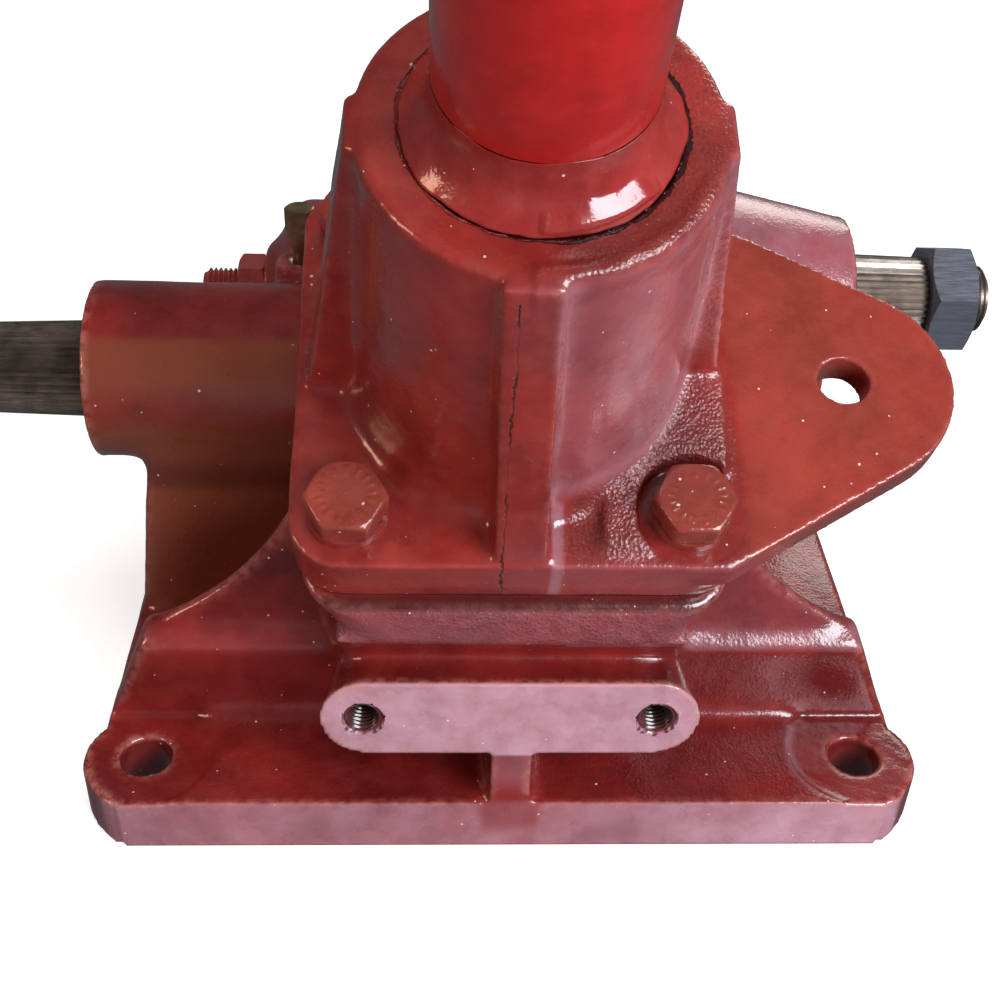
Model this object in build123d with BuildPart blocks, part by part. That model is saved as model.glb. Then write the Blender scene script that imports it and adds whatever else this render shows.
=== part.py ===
"""Steering gearbox: inclined worm column driving two parallel cross shafts.

X runs along the cross shafts, Y runs back and Z runs up. The origin is the centre of the
four base holes, on the base's bottom face. All sizes are in millimetres.
"""
import os
from math import acos, atan2, cos, pi, radians, sin, sqrt, tan

from build123d import *

os.makedirs("parts", exist_ok=True)

# ---------------------------------------------------------------- driving dimensions
base_half_width = 141.5
base_half_depth = 120.0
base_thickness = 21.0
base_hole_x = 125.0
base_hole_y = 97.0
base_hole_radius = 9.0
base_lug_radius = 21.5
base_corner_radius = 14.0
spot_depth = 0.8
spot_radius = 24.0

wall_front = -77.0            # front face of the low step across the base
step_back = -62.0
step_height = 54.0
step_end = 126.0              # half length of the step's top edge
step_foot = 141.0             # and of its foot
skirt_front = -71.0
skirt_thickness = 6.0
arm_web_front = -20.0         # thick web under the left arm
arm_web_thickness = 37.0
boss_web_thickness = 16.0     # web under the right boss
body_half_width = 61.0
front_half_width = 56.0
body_rear = 114.0
roof_height = 160.0

pad_front = -120.0
pad_height = 60.75
pad_half_length = 61.5
pad_radius = 15.7
pad_hole_x = 47.5
m12_drill_radius = 5.1
pad_hole_depth = 26.0
pad_draft = 8.0               # degrees
rib_x = 1.0
rib_width = 13.5

column_tilt = 28.0            # degrees from vertical, leaning forward
cover_y = -68.3               # centre of the cover's top face
cover_z = 161.5
cover_half = 68.0
cover_corner = 16.0
cover_thickness = 21.0
gasket_thickness = 0.8
lower_flange_half = 67.0
lower_flange_front = 72.4     # reaches out past the cover's front edge
lower_flange_back = 64.0
lower_flange_thickness = 18.2
bowl_half = 58.5              # half width at the bottom of the flange, which tapers in
bowl_front = 77.4
bowl_corner = 21.0
bolt_offset = 50.5
m14_radius = 7.0
m14_flats = 22.0
m14_head = 8.8
m14_length = 40.0
washer_thickness = 3.5

gusset_half = 8.5
gusset_foot = 64.6
rib_half = 7.5
ear_thickness = 12.5
ear_hole_x = 102.3
ear_hole_across = -3.5
ear_hole_radius = 8.0
ear_radius = 34.8
cover_spot_radius = 16.3
dowel_x = 58.0
dowel_radius = 4.0
column_base_radius = 50.0
column_top_radius = 46.0
column_height = 111.0
collar_radius = 34.0
tube_radius = 27.0
tube_wall = 4.0
tube_shank_radius = 26.0      # turned down where the tube sits in the column
tube_shoulder = 128.0         # the full outside diameter starts here
tube_socket = 60.0
tube_end = 235.0
input_end = 292.0

shaft_height = 113.5          # both cross shafts lie at this height
front_shaft_y = 9.0
segment_module = 3.0
segment_teeth = 22            # full-circle count of the two meshed segments
rack_teeth = 16               # full-circle count of the sector that meets the rack
rear_shaft_y = front_shaft_y + segment_module * segment_teeth
arm_tube_radius = 32.3
arm_tube_end = 149.0
rear_boss_end = 140.5
cap_inner_radius = 36.0
dome_end = 94.0
chamber_half_width = 26.0
chamber_half_height = 38.5
worm_chamber_radius = 31.0
bearing_relief_radius = 13.5

journal_radius = 18.0
hub_shaft_radius = 14.0
inner_journal_radius = 13.0
running_clearance = 0.05
bush_wall = 3.0
serration_teeth = 36
serration_depth = 2.0
front_serration_end = 196.0
rear_serration_end = 175.0
serration_taper = 1 / 34      # radius lost per millimetre of length
m27_radius = 13.5
m27_flats = 41.0

bearing_bore = 8.5
bearing_outer = 17.5
bearing_width = 10.0
bearing_ball = 2.4
bearing_track = 13.0
bearing_balls = 9
bearing_shoulder = 1.9        # each ring's land stands this far from the ball track
lower_bearing = -134.0        # start of each bearing along the column
upper_bearing = 0.0

input_radius = 8.4
worm_lead = 10.0
ball_radius = 3.0
ball_track_radius = 11.5
worm_radius = 10.9
nut_radius = 18.0
nut_half_length = 29.0

plug_x = -76.0
plug_y = 42.0
plug_seat = 143.0
plug_boss_radius = 11.0
plug_thread_radius = 3.4
plug_flats = 10.0
drain_radius = 7.0
drain_flats = 17.0

# ---------------------------------------------------------------- planes
tilt = radians(column_tilt)
column_plane = Plane(origin=(0, cover_y, cover_z), x_dir=(1, 0, 0), z_dir=(0, -sin(tilt), cos(tilt)))
front_plane = Plane(origin=(0, front_shaft_y, shaft_height), x_dir=(0, 1, 0), z_dir=(1, 0, 0))
rear_plane = Plane(origin=(0, rear_shaft_y, shaft_height), x_dir=(0, 1, 0), z_dir=(1, 0, 0))
plug_plane = Plane(origin=(plug_x, plug_y, 0))
drain_plane = Plane(origin=(0, body_rear, 84), x_dir=(1, 0, 0), z_dir=(0, 1, 0))
column_across = Vector(0, cos(tilt), sin(tilt))

# The front cross shaft's place in the column's own frame: across it and along it.
reach_y = front_shaft_y - cover_y
reach_z = shaft_height - cover_z
shaft_across = reach_y * cos(tilt) + reach_z * sin(tilt)
shaft_along = -reach_y * sin(tilt) + reach_z * cos(tilt)
rack_radius = segment_module * rack_teeth / 2
rack_line = shaft_across - rack_radius


def column_point(across, along, x=0.0):
    """A point given across and along the column, in the part's frame."""
    y = cover_y + across * cos(tilt) - along * sin(tilt)
    z = cover_z + across * sin(tilt) + along * cos(tilt)
    return (x, y, z)


def column_level(along):
    """The plane across the column at a height along it."""
    return column_plane.offset(along)


def column_seat(x, across, along=0.0):
    """A plane square to the column, standing at a point given in the column's own frame."""
    return Plane(origin=column_point(across, along, x), x_dir=(1, 0, 0), z_dir=column_plane.z_dir)


def save(builder, name):
    """Label a finished piece and write its STEP file."""
    builder.part.label = name
    export_step(builder.part, f"parts/{name}.step")


# ---------------------------------------------------------------- repeated shapes
def ring_between(plane, outer, inner, start, end):
    """A plain ring along the plane's normal from start to end."""
    with BuildPart() as ring:
        with BuildSketch(plane.offset(start)):
            Circle(outer)
            Circle(inner, mode=Mode.SUBTRACT)
        extrude(amount=end - start)
    return ring.part


def disc_between(plane, radius, start, end):
    """A plain cylinder along the plane's normal from start to end."""
    with BuildPart() as disc:
        with BuildSketch(plane.offset(start)):
            Circle(radius)
        extrude(amount=end - start)
    return disc.part


def turned(plane, profile):
    """A turned piece: profile is a list of (radius, height) points about the plane's normal."""
    side = Plane(origin=plane.origin, x_dir=plane.x_dir, z_dir=-plane.y_dir)
    with BuildPart() as piece:
        with BuildSketch(side):
            with BuildLine():
                Polyline(*profile, close=True)
            make_face()
        revolve(axis=Axis(plane.origin, plane.z_dir))
    return piece.part


def hexagon(plane, flats, height, bore=0.0, both_ends=False, turn=0.0):
    """A hexagon head or nut standing on the plane, its corners turned down to 30 degrees."""
    corner = flats / sqrt(3)
    drop = (corner - flats / 2 * 0.97) * tan(radians(30))
    low = drop if both_ends else 0
    low_radius = flats / 2 * 0.97 if both_ends else corner + 1
    with BuildPart() as head:
        with BuildSketch(plane):
            RegularPolygon(flats / 2, 6, major_radius=False, rotation=turn)
            if bore:
                Circle(bore, mode=Mode.SUBTRACT)
        extrude(amount=height)
        add(
            turned(
                plane,
                [
                    (0, 0),
                    (low_radius, 0),
                    (corner + 0.01, low),
                    (corner + 0.01, height - drop),
                    (flats / 2 * 0.97, height),
                    (0, height),
                ],
            ),
            mode=Mode.INTERSECT,
        )
    return head.part


def thread_profile(radius, start, end, pitch):
    """Outline of a threaded length as rings: (radius, height) points from start to end."""
    depth = 0.6 * pitch
    points = []
    turns = int((end - start) / pitch)
    for turn in range(turns):
        foot = start + turn * pitch
        points.append((radius - depth, foot + 0.1 * pitch))
        points.append((radius, foot + 0.45 * pitch))
        points.append((radius, foot + 0.6 * pitch))
        points.append((radius - depth, foot + 0.95 * pitch))
    return points


def involute_angle(radius, base_radius):
    """Polar angle of the involute at a radius."""
    pressure = acos(min(1.0, base_radius / radius))
    return tan(pressure) - pressure


def gear_tooth(teeth, centre_angle, module, backlash):
    """Outline points of one involute tooth, pointing at centre_angle degrees."""
    pitch_radius = module * teeth / 2
    base_radius = pitch_radius * cos(radians(20))
    root_radius = pitch_radius - 1.25 * module
    tip_radius = pitch_radius + 0.97 * module
    half = pi / (2 * teeth) - backlash / pitch_radius + involute_angle(pitch_radius, base_radius)
    flank = [(root_radius - 1.0, half)]
    start_radius = max(root_radius, base_radius)
    steps = 7
    for step in range(steps + 1):
        radius = start_radius + (tip_radius - start_radius) * step / steps
        flank.append((radius, half - involute_angle(radius, base_radius)))
    centre = radians(centre_angle)
    left = [(r * cos(centre + a), r * sin(centre + a)) for r, a in flank]
    right = [(r * cos(centre - a), r * sin(centre - a)) for r, a in reversed(flank)]
    return left + right


def pie(radius, start_angle, end_angle):
    """A pie slice between two angles, as a sketch."""
    first = (radius * cos(radians(start_angle)), radius * sin(radians(start_angle)))
    last = (radius * cos(radians(end_angle)), radius * sin(radians(end_angle)))
    with BuildSketch() as slice_sketch:
        with BuildLine():
            Line((0, 0), first)
            CenterArc((0, 0), radius, start_angle, end_angle - start_angle)
            Line(last, (0, 0))
        make_face()
    return slice_sketch.sketch


def serrated_end(plane, start, end, big_radius, depth=serration_depth, teeth=serration_teeth):
    """Tapered V serrations along a shaft, running out to points in the journal.

    start is where the cuts reach full depth; they run out behind it. end may lie on either side.
    """
    run_out = 7.0 if end > start else -7.0
    loss = abs(end - start) * serration_taper
    stations = [
        (start - run_out, big_radius, big_radius),
        (start, big_radius - 0.3, big_radius - depth),
        (end, big_radius - 0.3 - loss, big_radius - depth - loss),
    ]
    with BuildPart() as spline:
        for height, crest, root in stations:
            points = []
            for tooth in range(2 * teeth):
                radius = root if tooth % 2 else crest
                angle = pi * tooth / teeth
                points.append((radius * cos(angle), radius * sin(angle)))
            with BuildSketch(plane.offset(height)):
                with BuildLine():
                    Polyline(*points, close=True)
                make_face()
        loft(ruled=True)
    return spline.part


# ---------------------------------------------------------------- housing
def four_corners(x, y):
    """The four points (x, y), mirrored about both axes."""
    return [(side_x * x, side_y * y) for side_x in (-1, 1) for side_y in (-1, 1)]


def base_plate():
    """Flat base with a rounded lug and a spot face round each hole."""
    with BuildPart() as base:
        with BuildSketch():
            RectangleRounded(2 * base_half_width, 2 * base_half_depth, base_corner_radius)
            with Locations(*four_corners(base_hole_x, base_hole_y)):
                Circle(base_lug_radius)
        extrude(amount=base_thickness)
        for x, y in four_corners(base_hole_x, base_hole_y):
            hole = Plane(origin=(x, y, 0))
            add(disc_between(hole, base_hole_radius, -1, base_thickness + 1), mode=Mode.SUBTRACT)
            spot_floor = base_thickness - spot_depth
            add(disc_between(hole, spot_radius, spot_floor, base_thickness + 1), mode=Mode.SUBTRACT)
    return base.part


def step():
    """Low step across the front of the base, with a bevelled top edge and leaning ends."""
    foot = base_thickness - 1
    profile = [
        (step_back, foot),
        (wall_front, foot),
        (wall_front, step_height - 2),
        (wall_front + 2, step_height + 1),
        (skirt_front, step_height + 3),
        (step_back, step_height + 3),
    ]
    with BuildPart() as block:
        with BuildSketch(Plane.YZ.offset(-step_foot)):
            with BuildLine():
                Polyline(*profile, close=True)
            make_face()
        extrude(amount=2 * step_foot)
        with BuildSketch(Plane.XZ.offset(-step_back)):
            with BuildLine():
                Polyline(
                    (-step_foot, foot),
                    (step_foot, foot),
                    (step_end, step_height + 3),
                    (-step_end, step_height + 3),
                    close=True,
                )
            make_face()
        extrude(amount=step_back - wall_front, mode=Mode.INTERSECT)
    return block.part


def skirt():
    """Thin wall above the step, whose ends sweep down in a hollow arc."""
    foot = (127, 57)
    head = (73, 107)
    with BuildPart() as wall:
        with BuildSketch(Plane.XZ.offset(-skirt_front)):
            with BuildLine():
                Polyline((0, step_height - 2), (step_end, step_height - 2), foot)
                RadiusArc(foot, head, 103)
                Polyline(head, (66, 112), (0, 112), (0, step_height - 2))
            make_face()
            mirror(about=Plane.YZ)
        extrude(amount=-skirt_thickness)
    return wall.part


def box_body():
    """The box under the slanted cover joint, and the narrower wall in front of it."""
    bottom = -cover_thickness - gasket_thickness - lower_flange_thickness
    front_lip = column_point(-bowl_front + 1, bottom + 1)
    middle_lip = column_point(-lower_flange_back, bottom + 4)
    back_lip = column_point(lower_flange_back - 2, bottom + 6)
    outline = [
        (wall_front, base_thickness - 1),
        (body_rear, base_thickness - 1),
        (body_rear, 134),
        (102, 151),
        (78, roof_height),
        (back_lip[1] + 14, roof_height + 1),
        (back_lip[1], back_lip[2]),
        (wall_front, middle_lip[2]),
    ]
    front_outline = [
        (wall_front + 10, 52),
        (wall_front, 52),
        (-88, 62),
        (-104, 75),
        (front_lip[1] + 6, front_lip[2] - 7),
        (front_lip[1], front_lip[2]),
        (wall_front + 10, middle_lip[2]),
    ]
    with BuildPart() as body:
        for half_width, points in ((body_half_width, outline), (front_half_width, front_outline)):
            with BuildSketch(Plane.YZ.offset(-half_width)):
                with BuildLine():
                    Polyline(*points, close=True)
                make_face()
            extrude(amount=2 * half_width)
    return body.part


def lower_flange():
    """The slanted flange that carries the cover, tapering in below the joint."""
    top = -cover_thickness - gasket_thickness
    sections = [
        (top, lower_flange_half, lower_flange_front, cover_corner),
        (top - lower_flange_thickness, bowl_half, bowl_front, bowl_corner),
    ]
    with BuildPart() as flange:
        for level, half_width, front, corner in sections:
            with BuildSketch(column_level(level)):
                with Locations((0, (lower_flange_back - front) / 2)):
                    RectangleRounded(2 * half_width, lower_flange_back + front, corner)
        loft()
    return flange.part


def lozenge_pad():
    """Machined mounting pad on the front, with the rib that carries it to the base."""
    with BuildPart() as pad:
        with BuildSketch(Plane(origin=(0, pad_front, pad_height), x_dir=(1, 0, 0), z_dir=(0, 1, 0))):
            SlotOverall(2 * pad_half_length, 2 * pad_radius)
        extrude(amount=wall_front + 4 - pad_front, taper=pad_draft)
        with BuildSketch(Plane.XZ.offset(-pad_front)):
            with Locations((rib_x, (base_thickness + pad_height) / 2)):
                Rectangle(rib_width, pad_height - base_thickness + 2)
        extrude(amount=wall_front + 4 - pad_front, dir=(0, 1, 0))
    return pad.part


def arm_bosses():
    """Left arm tube, right tapered boss, and the domed boss opposite each."""
    with BuildPart() as bosses:
        add(disc_between(front_plane, arm_tube_radius, -arm_tube_end, -40))
        add(turned(rear_plane, [(0, 30), (49, 30), (48, 70), (32.6, rear_boss_end), (0, rear_boss_end)]))
        dome = [(0, 40), (cap_inner_radius, 40), (cap_inner_radius, 79), (30, 84), (22, 88), (17, dome_end)]
        dome.append((0, dome_end))
        add(turned(rear_plane, [(r, -h) for r, h in dome]))
        add(turned(front_plane, [(r * 0.86, h) for r, h in dome]))
        webs = [
            (arm_web_front + arm_web_thickness, arm_web_thickness, -50, -127.5, -139.5),
            (rear_shaft_y + boss_web_thickness / 2, boss_web_thickness, 50, 132, 138),
        ]
        for back, thickness, inner, outer, foot in webs:
            with BuildSketch(Plane.XZ.offset(-back)):
                with BuildLine():
                    Polyline(
                        (inner, base_thickness - 1),
                        (foot, base_thickness - 1),
                        (outer, shaft_height),
                        (inner, shaft_height),
                        close=True,
                    )
                make_face()
            extrude(amount=thickness)
    return bosses.part


def housing_cavity():
    """Everything cored or machined out of the housing."""
    top = -cover_thickness - gasket_thickness
    chamber = 2 * chamber_half_width
    middle = (front_shaft_y - 30 + rear_shaft_y) / 2
    with BuildPart() as cavity:
        pocket_top = lower_bearing + bearing_width
        add(disc_between(column_plane, worm_chamber_radius, pocket_top, top + 1))
        add(disc_between(column_plane, bearing_outer, lower_bearing, pocket_top + 1))
        add(disc_between(column_plane, bearing_relief_radius, lower_bearing - 5, lower_bearing + 1))
        with Locations((0, middle, shaft_height)):
            Box(chamber, rear_shaft_y - front_shaft_y + 30, 2 * chamber_half_height)
        add(disc_between(rear_plane, 30, -chamber_half_width, chamber_half_width))
        for plane, side, mouth in ((front_plane, -1, arm_tube_end), (rear_plane, 1, rear_boss_end)):
            bush = journal_radius + running_clearance + bush_wall
            seal = journal_radius + 7
            steps = [
                (bush, 25, mouth + 1),
                (seal, mouth - 10, mouth + 1),
            ]
            for radius, start, end in steps:
                low, high = sorted((side * start, side * end))
                add(disc_between(plane, radius, low, high))
            inner_bush = inner_journal_radius + running_clearance + bush_wall
            low, high = sorted((-side * 25, -side * 60))
            add(disc_between(plane, inner_bush, low, high))
            low, high = sorted((-side * 59, -side * (dome_end + 1)))
            add(disc_between(plane, 8.0, low, high))
    return cavity.part


def cover_bolt_places():
    """The four cover bolts, as points across the column."""
    return four_corners(bolt_offset, bolt_offset)


with BuildPart() as housing:
    add(base_plate())
    add(step())
    add(skirt())
    add(box_body())
    add(lower_flange())
    add(lozenge_pad())
    add(arm_bosses())
    add(disc_between(plug_plane, plug_boss_radius, shaft_height, plug_seat))
    add(housing_cavity(), mode=Mode.SUBTRACT)
    for side in (-1, 1):
        pad_hole = Plane(origin=(side * pad_hole_x, pad_front, pad_height), z_dir=(0, 1, 0))
        add(disc_between(pad_hole, m12_drill_radius, -1, pad_hole_depth), mode=Mode.SUBTRACT)
    for x, across in cover_bolt_places():
        hole = column_seat(x, across)
        add(disc_between(hole, m14_radius, -38.5, -20), mode=Mode.SUBTRACT)
    for side in (-1, 1):
        dowel_hole = column_seat(side * dowel_x, 0)
        add(disc_between(dowel_hole, dowel_radius, -cover_thickness - 11, -20), mode=Mode.SUBTRACT)
    add(disc_between(plug_plane, plug_thread_radius, plug_seat - 12, plug_seat + 1), mode=Mode.SUBTRACT)
    add(disc_between(drain_plane, drain_radius, -40, 1), mode=Mode.SUBTRACT)
save(housing, "housing")


# ---------------------------------------------------------------- column cover
def ear_outline():
    """Ear that reaches out beside the flange, a big radius round its hole."""
    centre_x, centre_y = ear_hole_x, ear_hole_across
    corners = [(76.0, 51.0), (61.6, -cover_half)]
    touches = []
    for (x, y), turn in zip(corners, (-1, 1)):
        reach = sqrt((x - centre_x) ** 2 + (y - centre_y) ** 2)
        angle = atan2(y - centre_y, x - centre_x) + turn * acos(ear_radius / reach)
        touches.append((centre_x + ear_radius * cos(angle), centre_y + ear_radius * sin(angle)))
    with BuildSketch() as outline:
        with BuildLine():
            Polyline((50, 60), corners[0], touches[0], touches[1], corners[1], (50, -cover_half), close=True)
        make_face()
        with Locations((centre_x, centre_y)):
            Circle(ear_radius)
    return outline.sketch


def gusset(side):
    """Upright gusset between the column and one side of the flange."""
    foot = gusset_foot if side < 0 else gusset_foot - 3
    face = Plane(origin=column_point(-gusset_half, 0), x_dir=(1, 0, 0), z_dir=tuple(-column_across))
    with BuildPart() as plate:
        with BuildSketch(face):
            with BuildLine():
                Polyline(
                    (side * 20, -1),
                    (side * foot, -1),
                    (side * (column_top_radius + 1.5), column_height - 1),
                    (side * 20, column_height - 1),
                    close=True,
                )
            make_face()
        extrude(amount=-2 * gusset_half)
    return plate.part


def raised_foot():
    """Thick cast foot on the right of the column, cut back round the front bolt."""
    slope = Plane(origin=column_point(0, 0, 24), x_dir=column_across, z_dir=(1, 0, 0))
    with BuildPart() as foot:
        with BuildSketch(slope):
            with BuildLine():
                Polyline((-63, -1), (-62, 2), (-34, 7.5), (-8, 13), (0, 13), (0, -1), close=True)
            make_face()
        extrude(amount=gusset_foot - 27)
        spot = column_seat(bolt_offset, -bolt_offset)
        add(disc_between(spot, cover_spot_radius, 0, 20), mode=Mode.SUBTRACT)
    return foot.part


def front_rib():
    """Rib down the front of the column, from the top ring to the flange edge."""
    middle = Plane(origin=column_point(0, 0, -rib_half), x_dir=column_across, z_dir=(1, 0, 0))
    with BuildPart() as rib:
        with BuildSketch(middle):
            with BuildLine():
                Polyline(
                    (-30, -1),
                    (-cover_half + 0.5, -1),
                    (-column_base_radius - 6, 40),
                    (-column_top_radius - 2, column_height - 1.2),
                    (-30, column_height - 1.2),
                    close=True,
                )
            make_face()
        extrude(amount=2 * rib_half)
    return rib.part


with BuildPart() as column_cover:
    with BuildSketch(column_level(-cover_thickness)):
        RectangleRounded(2 * cover_half, 2 * cover_half, cover_corner)
    extrude(amount=cover_thickness)
    with BuildSketch(column_level(-ear_thickness)):
        add(ear_outline())
    extrude(amount=ear_thickness)
    cone = [
        (0, -1),
        (column_base_radius + 5, -1),
        (column_base_radius + 1, 5),
        (column_base_radius - 1, 12),
        (column_top_radius, column_height - 12),
        (column_top_radius, column_height - 1.5),
        (column_top_radius - 1.5, column_height),
        (0, column_height),
    ]
    add(turned(column_plane, cone))
    add(front_rib())
    add(gusset(-1))
    add(gusset(1))
    add(raised_foot())
    bores = [
        (25, -cover_thickness - 1, 0),
        (bearing_outer, upper_bearing - 1, upper_bearing + bearing_width),
        (bearing_relief_radius + 0.5, upper_bearing + bearing_width - 1, tube_socket + 1),
        (tube_shank_radius, tube_socket, column_height + 1),
        (collar_radius, column_height - 8, column_height + 1),
    ]
    for radius, start, end in bores:
        add(disc_between(column_plane, radius, start, end), mode=Mode.SUBTRACT)
    for x, across in cover_bolt_places():
        hole = column_seat(x, across)
        add(disc_between(hole, m14_radius + 0.75, -cover_thickness - 1, 12), mode=Mode.SUBTRACT)
    for side in (-1, 1):
        dowel_hole = column_seat(side * dowel_x, 0)
        add(disc_between(dowel_hole, dowel_radius, -cover_thickness - 1, -11), mode=Mode.SUBTRACT)
    ear_hole = column_seat(ear_hole_x, ear_hole_across)
    add(disc_between(ear_hole, ear_hole_radius, -20, 5), mode=Mode.SUBTRACT)
save(column_cover, "column_cover")

with BuildPart() as cover_gasket:
    with BuildSketch(column_level(-cover_thickness - gasket_thickness)):
        with Locations((0, (lower_flange_back - cover_half) / 2)):
            RectangleRounded(2 * lower_flange_half - 1, lower_flange_back + cover_half - 1, cover_corner)
        Circle(worm_chamber_radius, mode=Mode.SUBTRACT)
        with Locations(*cover_bolt_places()):
            Circle(m14_radius + 0.75, mode=Mode.SUBTRACT)
        with Locations((-dowel_x, 0), (dowel_x, 0)):
            Circle(dowel_radius, mode=Mode.SUBTRACT)
    extrude(amount=gasket_thickness)
save(cover_gasket, "cover_gasket")

with BuildPart() as locating_dowels:
    for side in (-1, 1):
        hole = column_seat(side * dowel_x, 0)
        add(disc_between(hole, dowel_radius, -cover_thickness - 10.5, -11.5))
save(locating_dowels, "locating_dowels")

with BuildPart() as cover_bolts:
    for x, across in cover_bolt_places():
        seat = column_seat(x, across, washer_thickness)
        add(hexagon(seat, m14_flats, m14_head))
        add(disc_between(seat, m14_radius - 0.05, -m14_length, 0))
save(cover_bolts, "cover_bolts")

with BuildPart() as cover_spring_washers:
    for x, across in cover_bolt_places():
        seat = column_seat(x, across)
        with BuildSketch(seat):
            Circle(12)
            Circle(m14_radius + 0.3, mode=Mode.SUBTRACT)
            with Locations(Location((10, -4), 24)):
                Rectangle(12, 1.6, mode=Mode.SUBTRACT)
        extrude(amount=washer_thickness)
save(cover_spring_washers, "cover_spring_washers")

# ---------------------------------------------------------------- column tube and its ends
with BuildPart() as column_tube:
    bore = tube_radius - tube_wall
    add(ring_between(column_plane, tube_shank_radius, bore, tube_socket, tube_shoulder))
    add(ring_between(column_plane, tube_radius, bore, tube_shoulder, tube_end))
save(column_tube, "column_tube")

with BuildPart() as weld_collar:
    bead = [
        (tube_shank_radius, column_height - 8),
        (collar_radius, column_height - 8),
        (collar_radius, column_height - 2),
        (32, column_height + 1),
        (29.6, column_height + 5),
        (28.2, column_height + 11),
        (tube_radius + 0.2, tube_shoulder - 1),
        (tube_shank_radius, tube_shoulder - 1),
    ]
    add(turned(column_plane, bead))
save(weld_collar, "weld_collar")

with BuildPart() as column_top_bush:
    outside = tube_radius - tube_wall
    add(ring_between(column_plane, outside, input_radius + running_clearance, tube_end - 22, tube_end))
save(column_top_bush, "column_top_bush")

with BuildPart() as column_top_seal:
    lip = [
        (input_radius + 0.4, tube_end),
        (tube_radius - 1.5, tube_end),
        (tube_radius - 1.5, tube_end + 2),
        (tube_radius - 2.5, tube_end + 3.5),
        (input_radius + 0.4, tube_end + 3.5),
    ]
    add(turned(column_plane, lip))
save(column_top_seal, "column_top_seal")

# ---------------------------------------------------------------- input shaft and its bearings
def bearing_race(outer, inner, start):
    """One ring of a ball bearing, with its ball track."""
    middle = start + bearing_width / 2
    with BuildPart() as race:
        add(ring_between(column_plane, outer, inner, start, start + bearing_width))
        with Locations(column_level(middle).location):
            Torus(bearing_track, bearing_ball + 0.05, mode=Mode.SUBTRACT)
    return race.part


with BuildPart() as bearing_outer_rings:
    for start in (lower_bearing, upper_bearing):
        add(bearing_race(bearing_outer, bearing_track + bearing_shoulder, start))
save(bearing_outer_rings, "bearing_outer_rings")

with BuildPart() as bearing_inner_rings:
    for start in (lower_bearing, upper_bearing):
        add(bearing_race(bearing_track - bearing_shoulder, bearing_bore, start))
save(bearing_inner_rings, "bearing_inner_rings")

with BuildPart() as bearing_ball_sets:
    for start in (lower_bearing, upper_bearing):
        level = column_level(start + bearing_width / 2)
        for place in range(bearing_balls):
            angle = 2 * pi * place / bearing_balls
            spot = level.from_local_coords((bearing_track * cos(angle), bearing_track * sin(angle), 0))
            with Locations(spot):
                Sphere(bearing_ball)
save(bearing_ball_sets, "bearing_ball_sets")

nut_travel = rack_radius * radians(35)
track_half = 12.5
groove_start = shaft_along - track_half - nut_travel - 4
groove_length = 2 * (track_half + nut_travel + 4)

with BuildPart() as input_shaft:
    worm_top = -4.0
    serration_start = tube_end + 14
    serration_stop = serration_start + 22
    add(
        turned(
            column_plane,
            [
                (0, lower_bearing - 3),
                (bearing_bore, lower_bearing - 3),
                (bearing_bore, lower_bearing + bearing_width),
                (worm_radius, lower_bearing + bearing_width + 0.3),
                (worm_radius, worm_top),
                (bearing_bore, worm_top + 4),
                (bearing_bore, bearing_width),
                (input_radius, bearing_width + 1),
                (input_radius, serration_start - 7),
                (0, serration_start - 7),
            ],
        )
    )
    add(serrated_end(column_plane, serration_start, serration_stop, input_radius, 0.9, 30))
    tip = [(0, serration_stop), (6.0, serration_stop)]
    tip += thread_profile(7.0, serration_stop + 1, input_end, 1.5)
    tip += [(5.6, input_end + 0.5), (0, input_end + 0.5)]
    add(turned(column_plane, tip))
    with BuildPart(mode=Mode.PRIVATE) as groove:
        with BuildLine() as track:
            Helix(worm_lead, groove_length, ball_track_radius)
        with BuildSketch(Plane(origin=track.line @ 0, z_dir=track.line % 0)):
            Circle(ball_radius + 0.1)
        sweep(path=track.line, is_frenet=True)
    add(column_level(groove_start).location * groove.part, mode=Mode.SUBTRACT)
save(input_shaft, "input_shaft")

# ---------------------------------------------------------------- ball nut
nut_bottom = shaft_along - nut_half_length
return_reach = -23.0


def rack_outline():
    """Rack teeth in the across-along plane, a gap centred on the shaft's level."""
    pitch = pi * segment_module
    backlash = 0.16
    half_tip = pitch / 4 - backlash - 0.9 * segment_module * tan(radians(20))
    half_root = pitch / 4 - backlash + 1.2 * segment_module * tan(radians(20))
    root = rack_line - 1.2 * segment_module
    tip = rack_line + 0.9 * segment_module
    points = [(nut_radius - 6, nut_bottom), (root, nut_bottom)]
    for tooth in range(-3, 3):
        middle = shaft_along + (tooth + 0.5) * pitch
        points += [
            (root, middle - half_root),
            (tip, middle - half_tip),
            (tip, middle + half_tip),
            (root, middle + half_root),
        ]
    top = nut_bottom + 2 * nut_half_length
    points += [(root, top), (nut_radius - 6, top)]
    return points


with BuildPart() as ball_nut:
    nut_top = nut_bottom + 2 * nut_half_length
    add(disc_between(column_plane, nut_radius, nut_bottom, nut_top))
    rack_side = Plane(origin=column_point(0, 0, -17), x_dir=column_across, z_dir=(1, 0, 0))
    with BuildSketch(rack_side):
        with BuildLine():
            Polyline(*rack_outline(), close=True)
        make_face()
        with Locations((nut_radius / 2, shaft_along)):
            Rectangle(nut_radius - 2, 2 * nut_half_length)
    extrude(amount=34)
    add(disc_between(column_plane, worm_radius + 0.4, nut_bottom - 1, nut_top + 1), mode=Mode.SUBTRACT)
    ball_room = ball_track_radius + ball_radius + 0.05
    add(
        disc_between(column_plane, ball_room, shaft_along - track_half - 4, shaft_along + track_half + 4),
        mode=Mode.SUBTRACT,
    )
    for level in (-track_half, track_half):
        leg = Plane(origin=column_point(0, shaft_along + level), z_dir=tuple(-column_across))
        add(disc_between(leg, 4.3, 12, 25), mode=Mode.SUBTRACT)
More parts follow.
